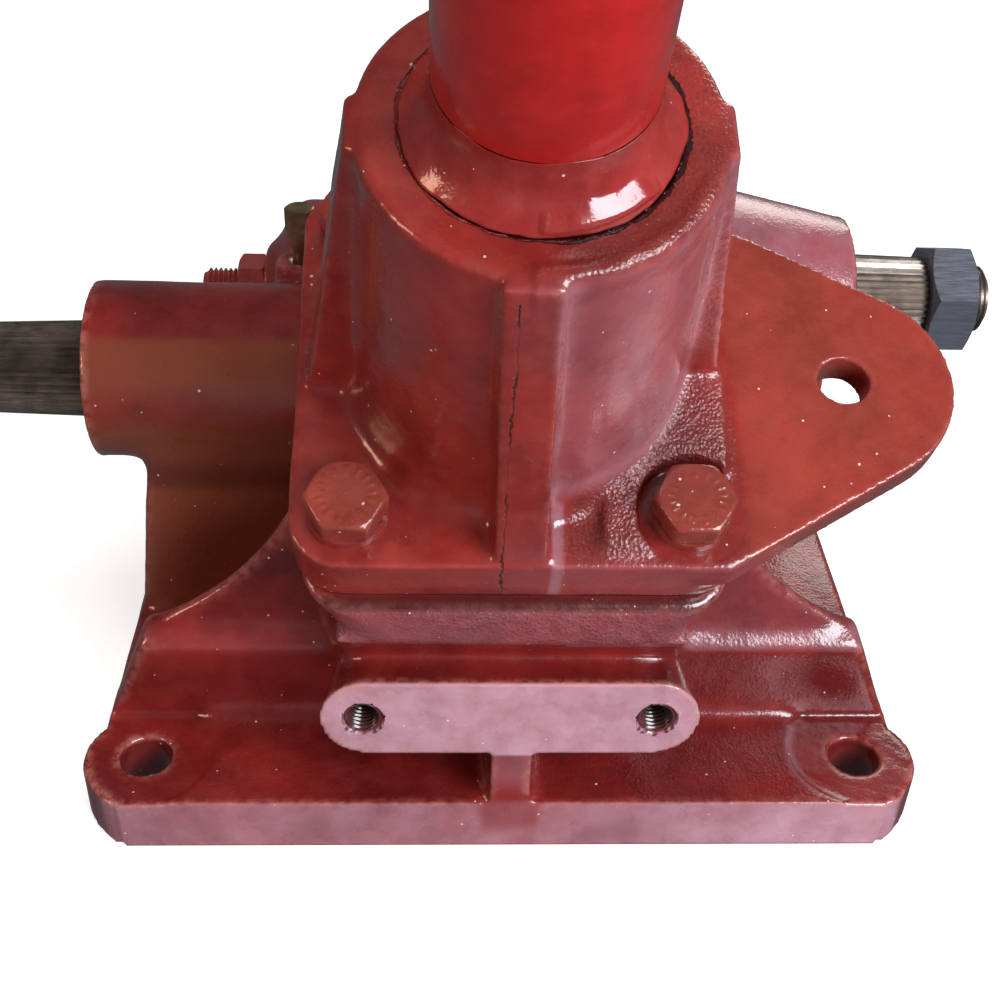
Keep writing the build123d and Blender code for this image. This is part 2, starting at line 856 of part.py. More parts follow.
save(ball_nut, "ball_nut")

with BuildPart() as nut_balls:
    balls_per_turn = 11
    turn_count = 2 * track_half / worm_lead
    for place in range(int(turn_count * balls_per_turn)):
        turn = (place + 0.4) / balls_per_turn
        height = shaft_along - track_half + turn * worm_lead
        angle = 2 * pi * (height - groove_start) / worm_lead
        spot = column_plane.from_local_coords(
            (ball_track_radius * cos(angle), ball_track_radius * sin(angle), height)
        )
        with Locations(spot):
            Sphere(ball_radius)
save(nut_balls, "nut_balls")

with BuildPart() as ball_return_tube:
    side_view = Plane(origin=column_plane.origin, x_dir=column_across, z_dir=(1, 0, 0))
    with BuildLine(side_view) as route:
        FilletPolyline(
            (-15.5, shaft_along - track_half),
            (return_reach, shaft_along - track_half),
            (return_reach, shaft_along + track_half),
            (-15.5, shaft_along + track_half),
            radius=6,
        )
    with BuildSketch(Plane(origin=route.line @ 0, z_dir=route.line % 0)):
        Circle(4.1)
        Circle(3.2, mode=Mode.SUBTRACT)
    sweep(path=route.line)
save(ball_return_tube, "ball_return_tube")


# ---------------------------------------------------------------- cross shafts and sectors
hub_radius = rack_radius - 1.25 * segment_module
key_low = 10.2
key_high = 17.2
key_half_width = 4.0


def cross_shaft(plane, side, mouth, serration_end, thread_end):
    """One cross shaft; side is the X direction of its arm, mouth is where its boss ends."""
    def at(height):
        return side * height

    with BuildPart() as shaft:
        steps = [
            (0, at(-58)),
            (inner_journal_radius, at(-58)),
            (inner_journal_radius, at(-24)),
            (hub_shaft_radius - 0.1, at(-24)),
            (hub_shaft_radius - 0.1, at(-22.4)),
            (hub_shaft_radius - 1.5, at(-22.4)),
            (hub_shaft_radius - 1.5, at(-21)),
            (hub_shaft_radius, at(-21)),
            (hub_shaft_radius, at(24)),
            (journal_radius, at(24)),
            (journal_radius, at(mouth - 4)),
            (0, at(mouth - 4)),
        ]
        add(turned(plane, steps))
        add(serrated_end(plane, at(mouth + 3), at(serration_end), journal_radius))
        tip = [(0, at(serration_end)), (11.5, at(serration_end))]
        tip += [(r, at(h)) for r, h in thread_profile(m27_radius, serration_end, thread_end, 2.0)]
        tip += [(11.0, at(thread_end)), (11.0, at(thread_end + 0.8)), (0, at(thread_end + 0.8))]
        add(turned(plane, tip))
        add(key_block(plane, side), mode=Mode.SUBTRACT)
    return shaft


def key_block(plane, side):
    """Parallel key between shaft and sector hub."""
    angle = 115 if side < 0 else 0
    seat = plane.offset(-18 if side < 0 else -14)
    with BuildPart() as block:
        with BuildSketch(seat):
            with Locations(Location((0, 0), angle)):
                with Locations(((key_low + key_high) / 2, 0)):
                    Rectangle(key_high - key_low, 2 * key_half_width)
        extrude(amount=32)
    return block.part


def sector(plane, side, groups):
    """A keyed hub with groups of teeth; a group is (full count, middle angle, tooth steps, half width)."""
    low, high = sorted((side * -21.0, side * 23.9))
    with BuildPart() as gear:
        add(disc_between(plane, hub_radius, low, high))
        for teeth, middle, steps, half_width in groups:
            step_angle = 360 / teeth
            root = segment_module * teeth / 2 - 1.25 * segment_module
            spread = (max(steps) + 0.5) * step_angle
            with BuildSketch(plane.offset(-half_width)):
                add(pie(root, middle - spread, middle + spread))
                for step in steps:
                    outline = gear_tooth(teeth, middle + step * step_angle, segment_module, 0.1)
                    with BuildLine():
                        Polyline(*outline, close=True)
                    make_face()
            extrude(amount=2 * half_width)
        add(disc_between(plane, hub_shaft_radius, low - 1, high + 1), mode=Mode.SUBTRACT)
        add(key_block(plane, side), mode=Mode.SUBTRACT)
    return gear


whole_steps = [-3, -2, -1, 0, 1, 2, 3]
half_steps = [-2.5, -1.5, -0.5, 0.5, 1.5, 2.5]
rack_steps = [-2, -1, 0, 1, 2]
rack_direction = 180 + column_tilt

front_cross_shaft = cross_shaft(front_plane, -1, arm_tube_end, front_serration_end, front_serration_end + 26)
save(front_cross_shaft, "front_cross_shaft")
rear_cross_shaft = cross_shaft(rear_plane, 1, rear_boss_end, rear_serration_end, rear_serration_end + 26)
save(rear_cross_shaft, "rear_cross_shaft")
front_groups = [(rack_teeth, rack_direction, rack_steps, 16), (segment_teeth, 0, whole_steps, 12)]
front_sector = sector(front_plane, -1, front_groups)
save(front_sector, "front_sector")
rear_sector = sector(rear_plane, 1, [(segment_teeth, 180, half_steps, 12)])
save(rear_sector, "rear_sector")

for plane, side, place in ((front_plane, -1, "front"), (rear_plane, 1, "rear")):
    with BuildPart() as key:
        add(key_block(plane, side))
    save(key, f"{place}_key")
    with BuildPart() as retaining_ring:
        low, high = sorted((side * -22.3, side * -21.05))
        with BuildSketch(plane.offset(low)):
            Circle(16.5)
            Circle(hub_shaft_radius - 1.5, mode=Mode.SUBTRACT)
            with Locations((0, -14)):
                Rectangle(9, 8, mode=Mode.SUBTRACT)
        extrude(amount=high - low)
    save(retaining_ring, f"{place}_retaining_ring")

with BuildPart() as thrust_washers:
    for plane, side in ((front_plane, -1), (rear_plane, 1)):
        for bore, outer, start, end in ((journal_radius + 0.4, 24.5, 24.1, 25.9), (13.4, 22, -25.9, -24.1)):
            low, high = sorted((side * start, side * end))
            add(ring_between(plane, outer, bore, low, high))
save(thrust_washers, "thrust_washers")

shaft_sides = ((front_plane, -1, arm_tube_end, "front"), (rear_plane, 1, rear_boss_end, "rear"))
for plane, side, mouth, place in shaft_sides:
    with BuildPart() as bushes:
        bore = journal_radius + running_clearance
        small_bore = inner_journal_radius + running_clearance
        spans = [
            (bore, 26, 66),
            (bore, mouth - 50, mouth - 10.5),
            (small_bore, -57.5, -26),
        ]
        for radius, start, end in spans:
            low, high = sorted((side * start, side * end))
            add(ring_between(plane, radius + bush_wall, radius, low, high))
    save(bushes, f"{place}_shaft_bushes")
    with BuildPart() as seal:
        casing = journal_radius + 7
        profile = [
            (casing, mouth - 10),
            (casing, mouth - 1),
            (journal_radius + 2.5, mouth - 1),
            (journal_radius + 0.4, mouth - 3),
            (journal_radius + 0.4, mouth - 5),
            (journal_radius + 3, mouth - 7),
            (journal_radius + 3, mouth - 10),
        ]
        add(turned(plane, [(r, side * h) for r, h in profile]))
    save(seal, f"{place}_shaft_seal")

with BuildPart() as front_shaft_nut:
    seat = front_plane.offset(-front_serration_end - 20)
    add(hexagon(seat, m27_flats, 19, m27_radius + 0.05, both_ends=True))
save(front_shaft_nut, "front_shaft_nut")

with BuildPart() as rear_shaft_nut:
    seat = rear_plane.offset(rear_serration_end + 0.5)
    add(hexagon(seat, m27_flats, 19, m27_radius + 0.05, both_ends=True, turn=36))
save(rear_shaft_nut, "rear_shaft_nut")

# ---------------------------------------------------------------- adjusters and plugs
adjuster_radius = 8.0
adjuster_end = 119.5
for plane, side, place in ((front_plane, 1, "front"), (rear_plane, -1, "rear")):
    with BuildPart() as screw:
        profile = [(0, 58.15), (6.5, 58.15), (7.9, 60)]
        profile += thread_profile(7.95, 62, adjuster_end - 1.5, 2.0)
        profile += [(6.4, adjuster_end - 1), (6.0, adjuster_end), (0, adjuster_end)]
        add(turned(plane, [(r, side * h) for r, h in profile]))
        slot_low, slot_high = sorted((side * (adjuster_end - 3), side * (adjuster_end + 1)))
        with BuildSketch(plane.offset(slot_low)):
            with Locations(Location((0, 0), 30)):
                Rectangle(20, 2.2)
        extrude(amount=slot_high - slot_low, mode=Mode.SUBTRACT)
    save(screw, f"{place}_adjuster_screw")
    with BuildPart() as nut:
        low = min(side * dome_end, side * (dome_end + 11))
        add(hexagon(plane.offset(low), 24, 11, adjuster_radius, both_ends=True))
    save(nut, f"{place}_adjuster_nut")

with BuildPart() as filler_plug:
    shank = [
        (0, plug_seat - 11),
        (plug_thread_radius - 0.05, plug_seat - 11),
        (plug_thread_radius - 0.05, plug_seat + 4),
        (4.3, plug_seat + 8),
        (4.3, plug_seat + 12),
        (0, plug_seat + 12),
    ]
    add(turned(plug_plane, shank))
    add(hexagon(plug_plane.offset(plug_seat + 12), plug_flats, 9))
save(filler_plug, "filler_plug")

with BuildPart() as drain_plug:
    add(disc_between(drain_plane, drain_radius - 0.05, -14, 0))
    add(disc_between(drain_plane, 12, 0, 2))
    add(hexagon(drain_plane.offset(2), drain_flats, 7))
save(drain_plug, "drain_plug")
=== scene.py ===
"""The looks of a cast steering gearbox in glossy oxide-red enamel, on a plain pale floor.

The frame is in metres: x to the right, y away from the camera, z up, with the base at z = 0.
The column has its own frame, from the middle of the cover's top face: x, across (up and to
the rear) and along its axis. A mask is a number per vertex, 1 in the area that it is named
after; the numbers in its fade and between calls say where its soft edges start and end.
"""

from math import cos, pi, radians, sin

import bmesh
import bpy
import numpy as np
from mathutils import Matrix, Vector


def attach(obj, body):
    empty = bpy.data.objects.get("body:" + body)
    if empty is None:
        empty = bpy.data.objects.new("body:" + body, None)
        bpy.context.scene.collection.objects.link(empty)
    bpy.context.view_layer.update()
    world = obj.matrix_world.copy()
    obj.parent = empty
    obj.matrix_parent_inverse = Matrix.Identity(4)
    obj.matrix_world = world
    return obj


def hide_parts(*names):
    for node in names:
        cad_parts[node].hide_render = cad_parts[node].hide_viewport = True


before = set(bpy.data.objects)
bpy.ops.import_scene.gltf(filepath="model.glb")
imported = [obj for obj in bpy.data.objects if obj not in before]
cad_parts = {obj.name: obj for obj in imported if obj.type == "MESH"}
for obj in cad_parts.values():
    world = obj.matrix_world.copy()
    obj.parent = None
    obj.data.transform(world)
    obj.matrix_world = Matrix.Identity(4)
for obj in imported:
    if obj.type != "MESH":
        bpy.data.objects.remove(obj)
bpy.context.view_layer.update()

# ---------------------------------------------------------------- sizes, in metres
# the housing: base plate, front pad with its tapped holes, low step, arm tube and right boss
BASE_TOP = 0.021
BASE_HOLES = [(sx * 0.125, sy * 0.097) for sx in (-1, 1) for sy in (-1, 1)]
BASE_HOLE_RADIUS = 0.009
SPOT_RADIUS = 0.024
PAD_FRONT = -0.120
PAD_HEIGHT = 0.06075
PAD_RADIUS = 0.0157
PAD_TOP = PAD_HEIGHT + PAD_RADIUS
PAD_BOTTOM = PAD_HEIGHT - PAD_RADIUS
PAD_HOLE_X = 0.0475
PAD_HOLE_DEPTH = 0.026
THREAD_ROOT = 0.0060
THREAD_CREST = 0.0051
THREAD_PITCH = 0.00175
RIB_X = 0.001
STEP_TOP = 0.054
SKIRT_X = 0.060
ARM_START = -0.062
ARM_END = -0.149
BOSS_END = 0.1405
HOUSING_VOXEL = 0.0013

# the column's frame
TILT = radians(28)
COVER = Vector((0, -0.0683, 0.1615))
ACROSS = Vector((0, cos(TILT), sin(TILT)))
ALONG = Vector((0, -sin(TILT), cos(TILT)))

# the cover: its column, front rib, parting line, stepped rim and bolts, and the way to the light
COLUMN_HEIGHT = 0.111
RIB_FACE = -0.0485
RIB_LEAN = 0.0030
PARTING_X = -0.0055
RIM_STEP_X = -0.003
RIM_STEP = 0.0007
BOLT_OFFSET = 0.0505
HEAD_TOP = 0.0123
WINDOW_WAY = np.array([0.62, -0.72, 0.31])
COVER_VOXEL = 0.0009
BOLT_VOXEL = 0.00055

# the bead round the tube, and the flat face of its dab: how far out it lies, and its normal
TUBE_RADIUS = 0.027
COLLAR_RADIUS = 0.0345
COLLAR_HEIGHT = 0.0165
DAB_ANGLE = radians(298)
DAB_REACH = 0.0225
DAB_ALONG, DAB_OUT = 0.806, 0.593

# rounds of smoothing between new normals, and of spreading the edge and corner masks
NORMAL_ROUNDS = 6
BEND_ROUNDS = 6

# the whole numbers that noise scrambles its cells with
HASH_STEPS = np.array([73856093, 19349663, 83492791], np.int64)
HASH_MIX = (2246822519, 3266489917)
HASH_MASK = 0xFFFFFFFF

# ---------------------------------------------------------------- tints
# brown of rust, and of painted warm light on the arm
RUST_AND_WARM_LIGHT_BROWN = (0.260, 0.072, 0.034, 1)
SHADE_BLACK = (0.045, 0.008, 0.006, 1)
# painted sheen and highlights: the pale pink that stands in for the lamps' gleam
PAINTED_SHEEN_PINK = (0.56, 0.33, 0.39, 1)
# worn edges, also lightened as painted edge highlights
WORN_AND_HIGHLIGHT_PINK = (0.52, 0.20, 0.16, 1)
SPECK_CREAM = (0.80, 0.66, 0.60, 1)
CRACK_BLACK = (0.014, 0.006, 0.005, 1)
OIL_BROWN = (0.050, 0.030, 0.018, 1)
DUST_GREY = (0.45, 0.42, 0.38, 1)


def scaled(tint, red, green, blue):
    """A tint with its three channels multiplied."""
    return tint[0] * red, tint[1] * green, tint[2] * blue, 1


# ---------------------------------------------------------------- numbers over a surface
def noise(points, size, seed=0):
    """Smooth random values from -1 to 1, with features about size metres across."""
    spot = points / size + seed * 17.31
    cell = np.floor(spot)
    part = spot - cell
    part = part * part * (3 - 2 * part)
    cell = cell.astype(np.int64)
    total = np.zeros(len(points))
    for corner in np.ndindex(2, 2, 2):
        key = ((cell + np.array(corner)) * HASH_STEPS).sum(1) & HASH_MASK
        key = ((key ^ (key >> 15)) * HASH_MIX[0]) & HASH_MASK
        key = ((key ^ (key >> 13)) * HASH_MIX[1]) & HASH_MASK
        value = ((key ^ (key >> 16)) & 0xFFFF) / 32767.5 - 1
        total += value * np.prod(np.where(corner, part, 1 - part), axis=1)
    return total


def fade(value, low, high):
    """0 at low, 1 at high and smooth between; low may be the larger."""
    step = np.clip((value - low) / (high - low), 0, 1)
    return step * step * (3 - 2 * step)


def between(value, start, full, still, end):
    """0 up to start, 1 from full to still and 0 from end, smooth in the two gaps."""
    return fade(value, start, full) * fade(value, end, still)


def column_frame(points):
    """x, across and along of points, as measured from the cover's top face."""
    offset = points - np.array(COVER)
    return points[:, 0], offset @ np.array(ACROSS), offset @ np.array(ALONG)


# ---------------------------------------------------------------- meshes
class Skin:
    """A mesh held as arrays while it is smoothed and shaped."""

    def __init__(self, mesh):
        self.mesh = mesh
        count = len(mesh.vertices)
        self.co = np.zeros(count * 3)
        mesh.vertices.foreach_get("co", self.co)
        self.co = self.co.reshape(-1, 3)
        edges = np.zeros(len(mesh.edges) * 2, np.int64)
        mesh.edges.foreach_get("vertices", edges)
        self.a, self.b = edges.reshape(-1, 2).T
        self.degree = np.bincount(edges, minlength=count)
        self.find_normals()

    def find_normals(self):
        """Writes the points to the mesh and reads its new normals."""
        self.mesh.vertices.foreach_set("co", self.co.astype(np.float32).ravel())
        self.mesh.update()
        flat = np.zeros(len(self.co) * 3, np.float32)
        self.mesh.vertex_normals.foreach_get("vector", flat)
        self.normal = flat.reshape(-1, 3).astype(float)

    def near(self, values):
        """Each vertex's mean of its neighbours' values."""
        count = len(self.co)
        total = np.bincount(self.a, values[self.b], count)
        total = total + np.bincount(self.b, values[self.a], count)
        return total / np.maximum(self.degree, 1)

    def pull(self):
        """The way from each vertex to the middle of its neighbours."""
        return np.stack([self.near(self.co[:, axis]) for axis in range(3)], 1) - self.co

    def relax(self, rounds, hollows, ridges, keep=0.0):
        """Rounds inner corners by hollows and outer ones by ridges, except where keep is 1."""
        for turn in range(rounds):
            pull = self.pull()
            side = (pull * self.normal).sum(1)
            rate = np.where(side > 0, hollows, ridges) * (1 - keep)
            self.co += pull * rate[:, None]
            if turn % NORMAL_ROUNDS == NORMAL_ROUNDS - 1:
                self.find_normals()
        self.find_normals()

    def push(self, amount):
        """Moves each vertex along its normal."""
        self.co += self.normal * np.asarray(amount)[:, None]

    def bend(self):
        """How much the surface stands out, per vertex: above 0 on edges, below 0 in corners."""
        raised = -(self.pull() * self.normal).sum(1)
        for _ in range(BEND_ROUNDS):
            raised = self.near(raised)
        return raised

    def store(self, name, values):
        """Keeps a number per vertex in the mesh, for a material to read."""
        layer = self.mesh.attributes.new(name, "FLOAT", "POINT")
        layer.data.foreach_set("value", np.asarray(values, np.float32))


def loose_copy(node, name, voxel):
    """A remeshed copy of a CAD node, evenly divided into quads of one voxel."""
    work = bmesh.new()
    work.from_mesh(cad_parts[node].data)
    bmesh.ops.remove_doubles(work, verts=work.verts, dist=1e-6)
    mesh = bpy.data.meshes.new(name)
    work.to_mesh(mesh)
    work.free()
    piece = bpy.data.objects.new(name, mesh)
    bpy.context.scene.collection.objects.link(piece)
    voxels = piece.modifiers.new("voxels", "REMESH")
    voxels.mode = "VOXEL"
    voxels.voxel_size = voxel
    voxels.use_smooth_shade = True
    graph = bpy.context.evaluated_depsgraph_get()
    piece.data = bpy.data.meshes.new_from_object(piece.evaluated_get(graph))
    piece.modifiers.clear()
    piece.data.name = name
    return piece


def finish_skin(piece, skin, coat, fields):
    """Writes the shaped surface back, with its paint and what the paint reads."""
    skin.find_normals()
    raised = skin.bend()
    # the edge mask: worn edges, also lightened as painted edge highlights
    skin.store("edge", fade(raised, 0.00002, 0.00012))
    # the next mask is painted shade, darkening the inner corners and creases
    skin.store("hollow", fade(-raised, 0.00002, 0.00014))
    for field, values in fields.items():
        skin.store(field, values)
    piece.data.materials.clear()
    piece.data.materials.append(coat)
    piece.data.polygons.foreach_set("use_smooth", [True] * len(piece.data.polygons))
    piece.data.update()


def grid_piece(name, rings, coat):
    """A closed mesh from rings of points, with the last ring joined to the first."""
    count = len(rings[0])
    points = [point for ring in rings for point in ring]
    faces = []
    for i in range(len(rings)):
        j = (i + 1) % len(rings)
        for k in range(count):
            n = (k + 1) % count
            faces.append((i * count + k, i * count + n, j * count + n, j * count + k))
    mesh = bpy.data.meshes.new(name)
    mesh.from_pydata([tuple(point) for point in points], [], faces)
    work = bmesh.new()
    work.from_mesh(mesh)
    bmesh.ops.recalc_face_normals(work, faces=work.faces)
    work.to_mesh(mesh)
    work.free()
    mesh.polygons.foreach_set("use_smooth", [True] * len(mesh.polygons))
    mesh.materials.append(coat)
    piece = bpy.data.objects.new(name, mesh)
    bpy.context.scene.collection.objects.link(piece)
    return piece


# ---------------------------------------------------------------- shader helpers
class Nodes:
    """A material's node tree, with short calls for the nodes that it is built from."""

    def __init__(self, name):
        self.material = bpy.data.materials.new(name)
        self.material.use_nodes = True
        self.tree = self.material.node_tree
        self.shader = self.tree.nodes["Principled BSDF"]
        self.place = self.tree.nodes.new("ShaderNodeTexCoord").outputs["Object"]

    def link(self, source, socket):
        """Feeds a socket from another one, or sets it to a plain value."""
        if isinstance(source, bpy.types.NodeSocket):
            self.tree.links.new(source, socket)
        else:
            socket.default_value = source

    def math(self, kind, a, b=0.0, clamp=False):
        node = self.tree.nodes.new("ShaderNodeMath")
        node.operation = kind
        node.use_clamp = clamp
        self.link(a, node.inputs[0])
        self.link(b, node.inputs[1])
        return node.outputs[0]

    def times(self, a, b):
        return self.math("MULTIPLY", a, b)

    def plus(self, a, b):
        return self.math("ADD", a, b)

    def minus(self, a, b):
        return self.math("SUBTRACT", a, b)

    def ramp(self, value, low, high, start=0.0, end=1.0):
        """Goes smoothly from start at low to end at high."""
        node = self.tree.nodes.new("ShaderNodeMapRange")
        node.interpolation_type = "SMOOTHSTEP"
        for socket, source in zip(node.inputs, (value, low, high, start, end)):
            self.link(source, socket)
        return node.outputs[0]

    def mix(self, share, a, b):
        """Colour a where share is 0, colour b where it is 1."""
        node = self.tree.nodes.new("ShaderNodeMix")
        node.data_type = "RGBA"
        node.clamp_factor = True
        self.link(share, node.inputs[0])
        self.link(a, node.inputs[6])
        self.link(b, node.inputs[7])
        return node.outputs[2]

    def clouds(self, size, detail=3.0, rough=0.55, place=None):
        """Soft noise around 0.5, with features about size metres across."""
        node = self.tree.nodes.new("ShaderNodeTexNoise")
        node.inputs["Scale"].default_value = 1 / size
        node.inputs["Detail"].default_value = detail
        node.inputs["Roughness"].default_value = rough
        self.link(place or self.place, node.inputs["Vector"])
        return node.outputs["Fac"]

    def cells(self, size):
        """The distance to the nearest of points scattered size metres apart."""
        node = self.tree.nodes.new("ShaderNodeTexVoronoi")
        node.inputs["Scale"].default_value = 1 / size
        self.link(self.place, node.inputs["Vector"])
        return node.outputs["Distance"]

    def field(self, name):
        """A number per vertex, as stored by Skin.store."""
        node = self.tree.nodes.new("ShaderNodeAttribute")
        node.attribute_name = name
        return node.outputs["Fac"]

    def stretched(self, scale):
        """Object coordinates scaled by axis, for noise drawn out along one."""
        node = self.tree.nodes.new("ShaderNodeMapping")
        node.inputs["Scale"].default_value = scale
        self.link(self.place, node.inputs["Vector"])
        return node.outputs["Vector"]

    def bump(self, height, distance, under=None):
        """A normal tilted by height times distance in metres, on top of the one under it."""
        node = self.tree.nodes.new("ShaderNodeBump")
        node.inputs["Strength"].default_value = 1.0
        node.inputs["Distance"].default_value = distance
        self.link(height, node.inputs["Height"])
        if under is not None:
            self.link(under, node.inputs["Normal"])
        return node.outputs["Normal"]

    def set(self, **sockets):
        """Sets the shader's sockets, named with underscores for spaces."""
        for name, source in sockets.items():
            self.link(source, self.shader.inputs[name.replace("_", " ")])


def column_place(nodes):
    """Object coordinates turned into the column's own frame: x, across, along."""
    shifted = nodes.tree.nodes.new("ShaderNodeVectorMath")
    shifted.operation = "SUBTRACT"
    nodes.link(nodes.place, shifted.inputs[0])
    shifted.inputs[1].default_value = COVER
    parts = []
    for direction in (Vector((1, 0, 0)), ACROSS, ALONG):
        node = nodes.tree.nodes.new("ShaderNodeVectorMath")
        node.operation = "DOT_PRODUCT"
        nodes.link(shifted.outputs[0], node.inputs[0])
        node.inputs[1].default_value = direction
        parts.append(node.outputs["Value"])
    return parts


def enamel_colour(nodes, bright, deep, specks, field):
    """Patchy streaky red with grime, painted corner shade, rust and painted warm light, painted
    sheen, worn edges with painted highlights, pits and pale specks.
    """
    patches = nodes.ramp(nodes.clouds(0.035, 4.0), 0.3, 0.7)
    colour = nodes.mix(patches, deep, bright)
    streaks = nodes.ramp(nodes.clouds(0.008, 4.0, 0.6), 0.35, 0.75)
    colour = nodes.mix(nodes.times(streaks, 0.35), colour, scaled(bright, 1.15, 2.2, 2))
    grime = nodes.ramp(nodes.clouds(0.012, 5.0, 0.65), 0.45, 0.8)
    colour = nodes.mix(nodes.times(grime, 0.35), colour, scaled(deep, 0.45, 0.6, 0.6))
    # painted shade: darker in the inner corners and creases
    colour = nodes.mix(nodes.times(field["hollow"], 0.75), colour, scaled(deep, 0.35, 0.4, 0.4))
    # brown: rust on the ear and the bolt heads, and painted warm light on the arm and its web
    colour = nodes.mix(nodes.times(field["rust_and_warm_light"], 0.8), colour, RUST_AND_WARM_LIGHT_BROWN)
    colour = nodes.mix(nodes.times(field["shade"], 0.85), colour, SHADE_BLACK)
    # painted sheen and highlights: pale pink where the lamps would gleam, broken up by drifts
    drifts = nodes.ramp(nodes.clouds(0.010, 5.0, 0.62), 0.15, 0.75, 0.55, 1.0)
    colour = nodes.mix(nodes.times(field["painted_sheen"], drifts), colour, PAINTED_SHEEN_PINK)
    breaks = nodes.ramp(nodes.clouds(0.0035, 4.0, 0.6), 0.35, 0.65)
    # worn edges, lightened also as painted highlights along them
    worn_and_lit_edge = nodes.times(field["edge"], breaks)
    colour = nodes.mix(nodes.times(worn_and_lit_edge, 0.65), colour, WORN_AND_HIGHLIGHT_PINK)
    pits = nodes.times(nodes.ramp(nodes.cells(0.0016), 0.05, 0.40, 1.0, 0.0), field["rough"])
    colour = nodes.mix(nodes.times(pits, 0.45), colour, scaled(deep, 0.3, 0.3, 0.3))
    speck_size = nodes.ramp(nodes.clouds(0.006, 2.0), 0.38, 0.70, 0.0, 0.095 * specks)
    speck = nodes.math("LESS_THAN", nodes.cells(0.0052), speck_size)
    return nodes.mix(nodes.times(speck, 0.85), colour, SPECK_CREAM)


def enamel_relief(nodes, cast, rough):
    """The bumps of the paint: brushed waves, fine grit and, where it is rough, sand."""
    peel = nodes.clouds(0.0042, 2.0, 0.5)
    grit = nodes.times(nodes.clouds(0.0011, 3.0, 0.6), nodes.plus(rough, 0.07))
    sand = nodes.times(nodes.cells(0.0011), rough)
    normal = nodes.bump(peel, 0.00016 * cast)
    normal = nodes.bump(grit, 0.00045 * cast, under=normal)
    return nodes.bump(sand, 0.00040 * cast, under=normal)


def crack_lines(nodes):
    """1 in the parting line down the front rib and in the crack round the bead, 0 elsewhere."""
    x, across, along = column_place(nodes)
    wander = nodes.times(nodes.minus(nodes.clouds(0.007, 5.0, 0.75), 0.5), 0.0042)
    off_line = nodes.math("ABSOLUTE", nodes.minus(nodes.plus(x, wander), PARTING_X))
    seam = nodes.ramp(off_line, 0.00012, 0.00040, 1.0, 0.0)
    seam = nodes.times(seam, nodes.math("LESS_THAN", across, RIB_FACE))
    seam = nodes.times(seam, nodes.ramp(nodes.clouds(0.014, 2.0), 0.36, 0.56, 0.1, 1.0))
    radius = nodes.math("SQRT", nodes.plus(nodes.times(x, x), nodes.times(across, across)))
    crack_radius = COLLAR_RADIUS + 0.0006
    off_ring = nodes.math("ABSOLUTE", nodes.minus(nodes.plus(radius, wander), crack_radius))
    right_side = nodes.ramp(nodes.plus(x, wander), -0.004, 0.010)
    off_ring = nodes.minus(off_ring, nodes.times(right_side, 0.00045))
    crack = nodes.ramp(off_ring, 0.00005, 0.00040, 1.0, 0.0)
    crack = nodes.times(crack, nodes.plus(nodes.times(right_side, 0.45), 0.5))
    crack = nodes.times(crack, nodes.math("GREATER_THAN", along, COLUMN_HEIGHT - 0.003))
    return nodes.math("MAXIMUM", seam, crack)


def enamel(name, bright, deep, cast=1.0, specks=1.0, crack=False, fields=True):
    """Glossy red enamel on a casting. With fields, it reads what finish_skin stores."""
    nodes = Nodes(name)
    field = {key: 0.0 for key in ("edge", "hollow", "painted_sheen", "shade", "rust_and_warm_light")}
    field["rough"] = 0.10
    if fields:
        field = {key: nodes.field(key) for key in field}
    colour = enamel_colour(nodes, bright, deep, specks, field)
    normal = enamel_relief(nodes, cast, field["rough"])
    spread = nodes.ramp(nodes.clouds(0.02, 4.0), 0.3, 0.75, 0.20, 0.36)
    spread = nodes.math("ADD", spread, nodes.times(field["rough"], 0.22), clamp=True)
    if crack:
        dark = crack_lines(nodes)
        colour = nodes.mix(dark, colour, CRACK_BLACK)
        normal = nodes.bump(nodes.minus(1.0, dark), 0.0006, under=normal)
    nodes.set(Base_Color=colour, Roughness=spread, Normal=normal)
    nodes.set(Coat_Weight=0.85, Coat_Roughness=0.07, Specular_IOR_Level=0.32)
    nodes.link(normal, nodes.shader.inputs["Coat Normal"])
    return nodes.material


def oiled_steel(name, tone, along_axis, brown=0.5):
    """Machined steel with an oily brown film, brushed along one axis."""
    nodes = Nodes(name)
    scale = [1.0, 1.0, 1.0]
    scale[along_axis] = 0.06
    lines = nodes.clouds(0.0006, 3.0, 0.6, nodes.stretched(scale))
    film = nodes.ramp(nodes.clouds(0.009, 4.0, 0.6), 0.35, 0.7)
    colour = nodes.mix(nodes.ramp(lines, 0.3, 0.75), scaled(tone, 0.8, 0.8, 0.8), tone)
    colour = nodes.mix(nodes.times(film, brown), colour, OIL_BROWN)
    dots = nodes.ramp(nodes.cells(0.003), 0.05, 0.12, 1.0, 0.0)
    colour = nodes.mix(nodes.times(dots, 0.4), colour, DUST_GREY)
    nodes.set(Base_Color=colour, Metallic=0.85)
    nodes.set(Roughness=nodes.ramp(lines, 0.2, 0.8, 0.24, 0.46))
    nodes.set(Normal=nodes.bump(lines, 0.00003))
    return nodes.material


def plain_metal(name, tone, roughness):
    """Bare metal with faint clouds and a fine grain."""
    nodes = Nodes(name)
    clouds = nodes.clouds(0.006, 5.0, 0.6)
    colour = nodes.mix(nodes.ramp(clouds, 0.3, 0.75), scaled(tone, 0.6, 0.6, 0.6), tone)
    nodes.set(Base_Color=colour, Metallic=0.9)
    nodes.set(Roughness=nodes.ramp(clouds, 0.2, 0.8, roughness * 0.8, roughness * 1.3))
    nodes.set(Normal=nodes.bump(nodes.clouds(0.0009, 3.0), 0.0001))
    return nodes.material


def soft_material(name, tone, roughness):
    """Rubber, fibre or nylon with a fine grain."""
    nodes = Nodes(name)
    grain = nodes.clouds(0.0012, 4.0, 0.6)
    colour = nodes.mix(nodes.ramp(grain, 0.3, 0.7), scaled(tone, 0.7, 0.7, 0.7), tone)
    nodes.set(Base_Color=colour, Roughness=roughness)
    nodes.set(Normal=nodes.bump(grain, 0.0002))
    return nodes.material


